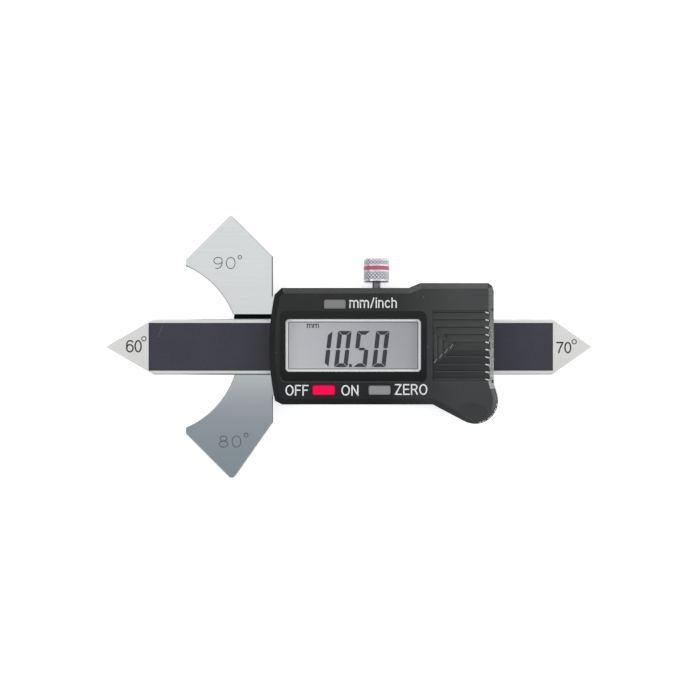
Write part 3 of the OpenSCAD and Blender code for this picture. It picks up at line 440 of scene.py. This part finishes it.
# lock screw: knurled head in two bands, a groove for the ring, a neck and a fine thread
lockScrew = {"x": 8.0, "z": 4.1, "radius": 3.75, "core": 3.15, "tooth": 0.06, "groove": 0.11,
             "columns": 22,  # knurl drawn coarser than the real 0.5 mm so that it shows
             "bands": ((18.5, 21.95, 2, 0.28, 0.06), (23.0, 25.4, 1, 0.06, 0.35)),  # ends, cuts, two chamfers
             "dish": (0.25, 0.06), "shoulder": 18.62, "coreEnd": 25.2, "blackTo": 18.45,
             "neck": 1.2, "root": 1.0, "pitch": 0.45, "crest": (0.2, 0.25), "threadEnd": 15.8, "runOut": 0.1,
             "tip": 9.05, "tipRadius": 0.85, "tipLength": 0.3, "sides": 28, "smooth": 25}
upright = 0.1 * mm  # an edge that rises more than this is an upright one
pieces = []
for low, high, rows, chamferLow, chamferHigh in lockScrew["bands"]:
    deselectAll()
    wall = high - low - chamferLow - chamferHigh
    blank = lockScrew["radius"] - lockScrew["tooth"]
    bpy.ops.mesh.primitive_cylinder_add(
        vertices=lockScrew["columns"], radius=blank * mm, depth=wall * mm, end_fill_type="NGON",
        location=(0, 0, (low + chamferLow + wall / 2) * mm))
    band = bpy.context.object
    pickEdges(band, lambda ends, a, b: abs(a.z - b.z) > upright)
    bpy.ops.mesh.subdivide(number_cuts=rows)
    pickFaces(band, lambda face: abs(face.normal.z) < 0.5)
    grid = len(band.data.vertices)
    bpy.ops.mesh.poke(offset=0.0)
    half = wall / 2 * mm - 0.01 * mm
    pickEdges(band, lambda ends, a, b: max(ends) < grid and (abs(a.z) < half or abs(b.z) < half
                                                            or abs(a.z - b.z) > upright))
    bpy.ops.mesh.dissolve_edges(use_verts=False)  # leaves a net of diamonds
    pickFaces(band, lambda face: abs(face.normal.z) < 0.5 and len(face.vertices) == 4)
    bpy.ops.mesh.inset(thickness=lockScrew["groove"] * mm, use_individual=True)  # grooves round the points
    bpy.ops.mesh.poke(offset=lockScrew["tooth"] * mm)
    for side, chamfer in ((-1, chamferLow), (1, chamferHigh)):
        narrow = 1 - chamfer / blank
        pickFaces(band, lambda face: face.normal.z * side > 0.9 and len(face.vertices) > 8)
        bpy.ops.mesh.extrude_region_move(TRANSFORM_OT_translate={"value": (0, 0, side * chamfer * mm)})
        bpy.ops.transform.resize(value=(narrow, narrow, 1))
        bpy.ops.mesh.inset(thickness=lockScrew["dish"][0] * mm, depth=-lockScrew["dish"][1] * mm)
    bpy.ops.object.mode_set(mode="OBJECT")
    pieces.append(band)
deselectAll()
bpy.ops.mesh.primitive_circle_add(vertices=lockScrew["sides"], radius=lockScrew["tipRadius"] * mm,
                                  fill_type="NGON", location=(0, 0, lockScrew["tip"] * mm))
shank = bpy.context.object
bpy.ops.object.mode_set(mode="EDIT")
bpy.ops.mesh.select_all(action="SELECT")
threadStart = lockScrew["tip"] + lockScrew["tipLength"]
stations = [(threadStart, lockScrew["root"])]
turns = int((lockScrew["threadEnd"] - threadStart) / lockScrew["pitch"])
for turn in range(turns):  # one crest and one root for each turn of the thread
    start = threadStart + turn * lockScrew["pitch"]
    stations += [(start + rise, lockScrew["neck"]) for rise in lockScrew["crest"]]
    stations.append((start + lockScrew["pitch"], lockScrew["root"]))
stations += [(lockScrew["threadEnd"] + lockScrew["runOut"], lockScrew["neck"]),
             (lockScrew["shoulder"], lockScrew["neck"]), (lockScrew["shoulder"], lockScrew["core"]),
             (lockScrew["coreEnd"], lockScrew["core"])]
height, radius = lockScrew["tip"], lockScrew["tipRadius"]
for nextHeight, nextRadius in stations:
    bpy.ops.mesh.extrude_region_move(TRANSFORM_OT_translate={"value": (0, 0, (nextHeight - height) * mm)})
    bpy.ops.transform.resize(value=(nextRadius / radius, nextRadius / radius, 1))
    height, radius = nextHeight, nextRadius
bpy.ops.mesh.select_all(action="SELECT")
bpy.ops.mesh.normals_make_consistent(inside=False)
bpy.ops.object.mode_set(mode="OBJECT")
bpy.ops.object.shade_smooth_by_angle(angle=math.radians(lockScrew["smooth"]))
for piece in pieces:
    piece.select_set(True)
bpy.context.view_layer.objects.active = shank
bpy.ops.object.join()
bpy.ops.object.transform_apply(location=True, rotation=True, scale=True)
shank.rotation_euler = (math.radians(-90), 0, 0)  # its axis from Z to Y
bpy.ops.object.transform_apply(location=True, rotation=True, scale=True)
shank.location = (lockScrew["x"] * mm, 0, lockScrew["z"] * mm)
settle(shank, "lockScrewKnurled", "lock_screw", plated["knurl"])
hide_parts("lock_screw")
shank.data.materials.append(plain["neckShadeSteel"])  # the neck and the thread are painted dark: painted shade under the head
shank.data.materials.append(plain["nickelPlate"])  # the turned ends are plain
shank.data.materials.append(plain["knurlShade"])  # the grooves between the points are painted darker: painted shade
for face in shank.data.polygons:
    corners = [shank.data.vertices[i].co / mm for i in face.vertices]
    reach = min(math.hypot(c.x - lockScrew["x"], c.z - lockScrew["z"]) for c in corners)
    if face.center.y < lockScrew["blackTo"] * mm:
        face.material_index = 1
    elif reach < lockScrew["radius"] - 3 * lockScrew["tooth"]:
        face.material_index = 2
    elif len(corners) == 4:
        face.material_index = 3
print("lock screw made:", len(shank.data.polygons), "faces")


def drawLines(name, dimensions, paths):
    deselectAll()
    drawing = bpy.data.curves.new(name, "CURVE")
    drawing.dimensions = dimensions
    for points, closed in paths:
        spline = drawing.splines.new("POLY")
        spline.points.add(len(points) - 1)
        for point, (x, y) in zip(spline.points, points):
            point.co = (x, y, 0, 1)
        spline.use_cyclic_u = closed
    return drawing


def meshFrom(drawing, scale, height):
    shape = bpy.data.objects.new(drawing.name, drawing)
    bpy.context.collection.objects.link(shape)
    bpy.context.view_layer.objects.active = shape
    shape.select_set(True)
    bpy.ops.object.convert(target="MESH")
    shape = bpy.context.object
    shape.scale = scale
    shape.location = (0, 0, height)
    bpy.ops.object.transform_apply(location=True, rotation=True, scale=True)
    return shape


def penStrokes(paths, width, height, flat):
    drawing = drawLines("strokes", "3D", paths)
    drawing.bevel_depth = width / 2
    drawing.bevel_resolution = 1
    drawing.use_fill_caps = True
    return meshFrom(drawing, (mm, mm, mm * flat), height * mm)  # round strokes pressed flat


def flatShapes(outlines, bottom, thick):
    drawing = drawLines("shapes", "2D", [(points, True) for points in outlines])
    drawing.fill_mode = "BOTH"
    drawing.extrude = 0.5
    return meshFrom(drawing, (mm, mm, thick * mm), (bottom + thick / 2) * mm)


def oval(x, y, rx, ry, start=0, end=360, steps=28):
    turns = [math.radians(start + (end - start) * i / steps) for i in range(steps + 1)]
    points = [(x + rx * math.cos(t), y + ry * math.sin(t)) for t in turns]
    return points[:-1] if end - start == 360 else points


# letters and numbers of a plain block face, each as its width and its strokes in a box one high
letterForms = {
    "O": (0.72, [(oval(0.36, 0.5, 0.36, 0.5), True)]),
    "F": (0.5, [([(0, 0), (0, 1)], False), ([(0, 1), (0.5, 1)], False), ([(0, 0.51), (0.43, 0.51)], False)]),
    "N": (0.58, [([(0, 0), (0, 1)], False), ([(0.02, 0.97), (0.56, 0.03)], False),
                 ([(0.58, 0), (0.58, 1)], False)]),
    "Z": (0.6, [([(0.03, 1), (0.57, 1)], False), ([(0.55, 0.96), (0.04, 0.04)], False),
                ([(0, 0), (0.6, 0)], False)]),
    "E": (0.54, [([(0, 0), (0, 1)], False), ([(0, 1), (0.51, 1)], False), ([(0, 0.52), (0.47, 0.52)], False),
                 ([(0, 0), (0.54, 0)], False)]),
    "R": (0.6, [([(0, 0), (0, 1)], False),
                ([(0, 1)] + oval(0.34, 0.75, 0.22, 0.25, 90, -90, 10) + [(0, 0.5)], False),
                ([(0.36, 0.46), (0.58, 0.03)], False)]),
    "m": (0.88, [([(0, 0), (0, 0.74)], False),
                 (oval(0.22, 0.52, 0.22, 0.22, 180, 0, 10) + [(0.44, 0)], False),
                 (oval(0.66, 0.52, 0.22, 0.22, 180, 0, 10) + [(0.88, 0)], False)]),
    "n": (0.46, [([(0, 0), (0, 0.74)], False),
                 (oval(0.23, 0.5, 0.23, 0.24, 180, 0, 10) + [(0.46, 0)], False)]),
    "h": (0.46, [([(0, 0), (0, 1)], False), (oval(0.23, 0.5, 0.23, 0.24, 180, 0, 10) + [(0.46, 0)], False)]),
    "i": (0.0, [([(0, 0), (0, 0.74)], False), ([(0, 0.99), (0, 1)], False)]),
    "c": (0.45, [(oval(0.25, 0.37, 0.25, 0.37, 48, 312, 20), False)]),
    "/": (0.32, [([(0, 0), (0.32, 1)], False)]),
    "0": (0.5, [(oval(0.25, 0.5, 0.25, 0.5), True)]),
    "6": (0.52, [(oval(0.26, 0.32, 0.26, 0.32), True),
                 (oval(0.28, 0.66, 0.28, 0.34, 42, 180, 12) + [(0, 0.36)], False)]),
    "7": (0.52, [([(0, 1), (0.5, 1)], False),
                 ([(0.51, 0.97), (0.35, 0.64), (0.23, 0.32), (0.15, 0)], False)]),
}


def stretch(end, inner, by):
    way = Vector(end) - Vector(inner)
    return tuple(Vector(end) + way.normalized() * by)


def printWord(words, box, width, height, space=0.28, flat=0.12):
    x0, x1, y0, y1 = box
    wide = (x1 - x0 - width) / (sum(letterForms[c][0] for c in words) + space * (len(words) - 1))
    tall = y1 - y0 - width
    paths = []
    start = 0.0
    for letter in words:
        for points, closed in letterForms[letter][1]:
            line = [(x0 + width / 2 + (start + x) * wide, y0 + width / 2 + y * tall) for x, y in points]
            if not closed:  # square ends, half a stroke longer
                first, last = stretch(line[0], line[1], width / 2), stretch(line[-1], line[-2], width / 2)
                line[0], line[-1] = first, last
            paths.append((line, closed))
        start += letterForms[letter][0] + space
    return penStrokes(paths, width, height, flat)


# words printed on the housing's front
frontWords = {"z": 14.6, "unitWord": ("mm/inch", (0.21, 13.38, 10.73, 13.62), 0.36),
              "offWord": ("OFF", (-17.5, -11.1, -13.58, -10.58), 0.39),
              "onWord": ("ON", (-2.01, 2.76, -13.58, -10.61), 0.39),
              "zeroWord": ("ZERO", (12.79, 21.86, -13.39, -10.34), 0.39)}
for name in ("unitWord", "offWord", "onWord", "zeroWord"):
    words, box, width = frontWords[name]
    settle(printWord(words, box, width, frontWords["z"]), name, "slider", plain["whiteInk"])
print("front words printed")

# angle numbers printed on the beam's points, each with its degree ring
beamNumbers = {"z": 5.9, "width": 0.42, "space": 0.18,
               "ringRadius": 0.62, "ringWidth": 0.26, "ringFlat": 0.15,
               "leftAngle": ("60", (-63.58, -59.07, -1.64, 1.97), (-58.48, 2.29)),
               "rightAngle": ("70", (59.34, 63.65, -1.88, 1.43), (64.45, 1.45))}
for name in ("leftAngle", "rightAngle"):
    words, box, (x, y) = beamNumbers[name]
    word = printWord(words, box, beamNumbers["width"], beamNumbers["z"], beamNumbers["space"])
    settle(word, name, "beam", plain["blackInk"])
    ring = [(oval(x, y, beamNumbers["ringRadius"], beamNumbers["ringRadius"]), True)]
    ringStroke = penStrokes(ring, beamNumbers["ringWidth"], beamNumbers["z"], beamNumbers["ringFlat"])
    settle(ringStroke, name + "Degree", "beam", plain["blackInk"])

# angle numbers engraved on the arms with a single line cutter; the strokes are painted dark as the shade in
# the cuts
armNumbers = {"z": 5.9, "width": 0.24, "flat": 0.15, "nineBowl": (-37.3, 24.6, 1.2, 0.95),
              "nineTail": [(-36.1, 24.6), (-36.12, 24.0), (-36.3, 23.3), (-36.7, 22.7), (-37.3, 22.4),
                           (-38.1, 22.42)],
              "upperZero": (-33.68, 23.95, 1.25, 1.6), "upperRing": (-31.08, 25.6, 0.5, 0.5),
              "eightTop": (-35.75, -26.2, 1.0, 0.72), "eightFoot": (-35.75, -27.8, 1.2, 0.86),
              "lowerZero": (-32.03, -27.05, 1.25, 1.6), "lowerRing": (-29.28, -25.2, 0.55, 0.55)}
upper = [(oval(*armNumbers["nineBowl"]) + armNumbers["nineTail"], False)]
upper += [(oval(*armNumbers[part]), True) for part in ("upperZero", "upperRing")]
lower = [(oval(*armNumbers[part]), True) for part in ("eightTop", "eightFoot", "lowerZero", "lowerRing")]
for name, paths in (("upperAngle", upper), ("lowerAngle", lower)):
    strokes = penStrokes(paths, armNumbers["width"], armNumbers["z"], armNumbers["flat"])
    settle(strokes, name, "slider", plain["engraveShade"])
print("angle numbers made")

# LCD: slanted seven segment digits, the unit sign and a dark line round the glass, painted shadow at the
# polariser's edge under the rim
digits = {"z": 12.5, "thick": 0.03, "sunk": 0.005, "low": -5.69, "tall": 10.09, "wide": 3.76,
          "bar": 1.2, "flatBar": 1.05, "gap": 0.1, "notch": 0.35, "dash": (0.95, 0.42), "slant": 0.115,
          "starts": (-9.37, -4.07, 1.24, 6.54), "reading": ("bc", "abcdef", "acdfg", "abcdef"),
          "point": (0.09, 0.93, -5.69, -4.85), "unit": (-11.64, -8.26, 5.23, 6.78), "unitWidth": 0.26,
          "seal": (-16.76, 19.36, -6.21, 6.91), "sealWidth": 0.28, "sealFlat": 0.2}
w, h, t, s, g = (digits[k] for k in ("wide", "tall", "bar", "flatBar", "gap"))
m = h / 2
n = digits["notch"] * s  # how far the upright bars are cut back at the middle
segments = {
    "a": [(g, h), (w - g, h), (w - t - g, h - s), (t + g, h - s)],
    "d": [(g, 0), (t + g, s), (w - t - g, s), (w - g, 0)],
    "f": [(0, h - g), (t, h - s - g), (t, m + n), (t / 2, m + g), (0, m + n)],
    "b": [(w, h - g), (w, m + n), (w - t / 2, m + g), (w - t, m + n), (w - t, h - s - g)],
    "e": [(0, g), (0, m - n), (t / 2, m - g), (t, m - n), (t, s + g)],
    "c": [(w, g), (w - t, s + g), (w - t, m - n), (w - t / 2, m - g), (w, m - n)],
    "g": oval(w / 2, m, *digits["dash"], 0, 360, 12),
}


def boxCorners(x0, x1, y0, y1):
    return [(x0, y0), (x1, y0), (x1, y1), (x0, y1)]


outlines = []
for start, lit in zip(digits["starts"], digits["reading"]):
    for letter in lit:
        outlines.append([(start + x + digits["slant"] * y, digits["low"] + y) for x, y in segments[letter]])
outlines.append(boxCorners(*digits["point"]))
reading = flatShapes(outlines, digits["z"] - digits["sunk"], digits["thick"])
settle(reading, "lcdReading", "slider", plain["lcdInk"])
unitSign = printWord("mm", digits["unit"], digits["unitWidth"], digits["z"])
settle(unitSign, "lcdUnit", "slider", plain["lcdInk"])
# the dark line round the glass is a painted shadow
seal = [(boxCorners(*digits["seal"]), True)]
edgeShadowLine = penStrokes(seal, digits["sealWidth"], digits["z"], digits["sealFlat"])
settle(edgeShadowLine, "lcdEdgeShadow", "slider", plain["lcdEdgeShade"])


def roundedBox(x0, x1, y0, y1, r, steps=6):
    points = []
    corners = ((x1 - r, y1 - r, 0), (x0 + r, y1 - r, 90), (x0 + r, y0 + r, 180), (x1 - r, y0 + r, 270))
    for cx, cy, start in corners:
        points += oval(cx, cy, r, r, start, start + 90, steps)
    return points


# lens: one acrylic plate, printed black behind its border, clear over the display
lens = {"outside": (-19.1, 21.7, -9.85, 9.85), "corner": 1.8, "bottom": 13.3, "thick": 1.2, "seam": 0.02,
        "window": (-17.5, 20.1, -6.95, 7.65), "windowCorner": 0.9,
        "glint": 0.09, "glintWidth": 0.14, "glintFlat": 0.15, "glintFrom": 190}
x0, x1, y0, y1 = lens["window"]
seam = lens["seam"]
pane = flatShapes([roundedBox(x0 + seam, x1 - seam, y0 + seam, y1 - seam, lens["windowCorner"])],
                  lens["bottom"], lens["thick"])
rims = [roundedBox(*lens["outside"], lens["corner"]), roundedBox(*lens["window"], lens["windowCorner"])]
border = flatShapes(rims, lens["bottom"], lens["thick"])
pane.select_set(True)
bpy.ops.object.join()
settle(border, "lensPlate", "slider", lensMask)
border.data.materials.append(clearLens)
for face in border.data.polygons:
    corners = [border.data.vertices[i].co / mm for i in face.vertices]
    inside = all(x0 + seam / 2 < c.x < x1 - seam / 2 and y0 + seam / 2 < c.y < y1 - seam / 2 for c in corners)
    face.material_index = 1 if inside else 0
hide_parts("display_lens")
# a thin painted highlight along the lens's lower edge
x0, x1, y0, y1 = lens["outside"]
r = lens["corner"]
bend = r - lens["glint"]
lowEdge = oval(x0 + r, y0 + r, bend, bend, lens["glintFrom"], 270, 8) + [(x1 - r, y0 + lens["glint"])]
glint = penStrokes([(lowEdge, False)], lens["glintWidth"], lens["bottom"] + lens["thick"], lens["glintFlat"])
settle(glint, "lensEdgeGlint", "slider", plain["lensGlint"])
print("display made")

# scale film: a dark edge line all round and one old scratch
film = {"z": 5.87, "edge": (-56.98, 58.21, -6.69, 6.69), "edgeWidth": 0.16, "flat": 0.15,
        "scratch": [(-54.4, 2.8), (-53.9, 4.3), (-53.3, 5.95)], "scratchWidth": 0.1}
edgeLine = penStrokes([(boxCorners(*film["edge"]), True)], film["edgeWidth"], film["z"], film["flat"])
settle(edgeLine, "filmEdge", "beam", plain["filmEdge"])
scratch = penStrokes([(film["scratch"], False)], film["scratchWidth"], film["z"], film["flat"])
settle(scratch, "filmScratch", "beam", plain["scratch"])
print("film finished")

# battery cover: painted highlights on the ends of the grip steps, along the arrow's lower edge and on the
# lower crests
coverLightAndShade = {"z": 14.6, "flat": 0.2, "thin": 0.15,
             "tick": [(37.95, 0.08), (38.49, -0.02), (38.85, -0.2)], "tickWidth": 0.36,
             "ticks": [(0, 9.45 - i * 2.062) for i in range(10)],
             "dash": [(0, 0), (0.5, 0.6), (0.8, 1.25)], "dashWidth": 0.22,
             "dashes": [(23.66 + i * 1.48, -4.49 + i * 1.34) for i in range(4)],
             "stepShadow": [(0, 0), (0.75, -0.66)], "stepShadowWidth": 0.28,
             "stepShadows": [(24.35 + i * 2.25, 5.2 - i * 1.97) for i in range(3)],
             "crestTop": -0.7, "crestPitch": 2.06, "crestStarts": (29.0, 26.6, 24.3, 23.8, 23.8),
             "crestEnd": 37.95, "crestWidth": 0.2}


def repeated(mark, places):
    return [([(px + x, py + y) for x, y in mark], False) for px, py in places]


# painted highlights at the ends of the grip steps
ticks = repeated(coverLightAndShade["tick"], coverLightAndShade["ticks"])
tickMarks = penStrokes(ticks, coverLightAndShade["tickWidth"], coverLightAndShade["z"], coverLightAndShade["flat"])
settle(tickMarks, "coverTickHighlights", "battery_cover", plain["paleHighlight"])
dashes = repeated(coverLightAndShade["dash"], coverLightAndShade["dashes"])
dashMarks = penStrokes(dashes, coverLightAndShade["dashWidth"], coverLightAndShade["z"], coverLightAndShade["flat"])
settle(dashMarks, "coverDashHighlights", "battery_cover", plain["greyHighlight"])
stepShadows = repeated(coverLightAndShade["stepShadow"], coverLightAndShade["stepShadows"])  # painted shadows where the upper steps run into the arrow
stepShadowMarks = penStrokes(stepShadows, coverLightAndShade["stepShadowWidth"], coverLightAndShade["z"], coverLightAndShade["thin"])
settle(stepShadowMarks, "coverStepShadows", "battery_cover", plain["filmEdge"])
crests = []
for i, start in enumerate(coverLightAndShade["crestStarts"]):
    y = coverLightAndShade["crestTop"] - i * coverLightAndShade["crestPitch"]
    crests.append(([(start, y), (coverLightAndShade["crestEnd"], y)], False))
crestLines = penStrokes(crests, coverLightAndShade["crestWidth"], coverLightAndShade["z"], coverLightAndShade["thin"])
settle(crestLines, "coverCrestHighlights", "battery_cover", plain["crestHighlight"])

# thumb lobe: painted highlights in short pale dashes along its rim, and one thin painted highlight along the
# slope above it
lobeHighlights = {"x": 35.25, "y": -15.1, "flat": 0.6, "radius": 6.05, "z": 13.58, "width": 0.22,
            "from": -80.0, "to": -4.0, "dashes": 9, "share": 0.55, "vary": 0.35, "beat": 2.4,
            "lineStart": (40.2, -11.95), "lineTurn": 17, "lineRadius": 5.65, "lineZ": 13.9, "lineWidth": 0.18}
rimHighlights = []
part = (lobeHighlights["to"] - lobeHighlights["from"]) / lobeHighlights["dashes"]
for i in range(lobeHighlights["dashes"]):
    start = lobeHighlights["from"] + i * part
    end = start + part * (lobeHighlights["share"] + lobeHighlights["vary"] * math.sin(lobeHighlights["beat"] * i))
    rub = oval(lobeHighlights["x"], lobeHighlights["y"], lobeHighlights["radius"], lobeHighlights["radius"], start, end, 5)
    rimHighlights.append((rub, False))
rimHighlightMarks = penStrokes(rimHighlights, lobeHighlights["width"], lobeHighlights["z"], lobeHighlights["flat"])
settle(rimHighlightMarks, "lobeRimHighlights", "slider", plain["paleHighlight"])
r = lobeHighlights["lineRadius"]
inside = [lobeHighlights["lineStart"]] + oval(lobeHighlights["x"], lobeHighlights["y"], r, r, lobeHighlights["lineTurn"], 0, 8)
lobeLineHighlight = penStrokes([(inside, False)], lobeHighlights["lineWidth"], lobeHighlights["lineZ"], lobeHighlights["flat"])
settle(lobeLineHighlight, "lobeLineHighlight", "slider", plain["greyHighlight"])
print("wear marks made")

# floor: a pale light table
table = {"size": 6.0, "drop": 0.1, "tint": "#f4f4f4", "roughness": 0.6, "light": "#ffffff", "glow": 0.6}
deselectAll()
bpy.ops.mesh.primitive_plane_add(size=table["size"], location=(0, 0, -table["drop"] * mm))
floor = bpy.context.object
floor.name = "floor"
floorPaint, tree, shader, place = startMaterial("pale opal acrylic table", {
    "Base Color": linear(table["tint"]), "Roughness": table["roughness"],
    "Emission Color": linear(table["light"]), "Emission Strength": table["glow"]})
floor.data.materials.append(floorPaint)

# lights: a soft box overhead and behind, a cool card in front, two keys, low strips at the right and behind
# where, what it looks at, width, depth, power, tone
lights = {"softBox": ((0.0, 0.374, 0.62), (0.0, 0.375, 0.0), 0.9, 0.8, 2.12, "#ffffff"),
          "coolCard": ((0.0, -0.30, 0.62), (0.0, -0.299, 0.0), 0.9, 0.52, 0.335, "#c4e5ff"),
          "keyLeft": ((-0.55, -0.1, 0.45), (0.0, 0.0, 0.0), 0.3, 0.3, 1.3, "#ffffff"),
          "keyRight": ((0.55, -0.1, 0.45), (0.0, 0.0, 0.0), 0.3, 0.3, 1.3, "#ffffff"),
          "rightStrip": ((0.55, 0.0, 0.08), (0.04, 0.0, 0.01), 0.5, 0.12, 0.4, "#ffffff"),
          "backStrip": ((0.0, 0.7, 0.16), (0.0, 0.0, 0.01), 0.8, 0.15, 1.2, "#ffffff")}
for name, (where, target, wide, deep, power, tone) in lights.items():
    deselectAll()
    bpy.ops.object.light_add(type="AREA", location=where)
    lamp = bpy.context.object
    lamp.name = name
    lamp.data.shape = "RECTANGLE"
    lamp.data.size = wide
    lamp.data.size_y = deep
    lamp.data.energy = power
    lamp.data.color = linear(tone)[:3]
    lamp.rotation_euler = (Vector(target) - Vector(where)).to_track_quat("-Z", "Y").to_euler()
room = {"tint": "#d8dde0", "strength": 0.3}
world = bpy.context.scene.world or bpy.data.worlds.new("world")
bpy.context.scene.world = world
world.use_nodes = True
world.node_tree.nodes["Background"].inputs["Color"].default_value = linear(room["tint"])
world.node_tree.nodes["Background"].inputs["Strength"].default_value = room["strength"]
print("lights set")

# camera: straight above, as in the photograph
view = {"x": 0.4, "y": -0.91, "z": 300.0, "lens": 52.94, "sensor": 36.0}
bpy.ops.object.camera_add(location=(view["x"] * mm, view["y"] * mm, view["z"] * mm), rotation=(0, 0, 0))
camera = bpy.context.object
camera.data.lens = view["lens"]
camera.data.sensor_width = view["sensor"]
camera.data.clip_start = 0.01
bpy.context.scene.camera = camera
bpy.context.scene.view_settings.view_transform = "Standard"
print("camera set")
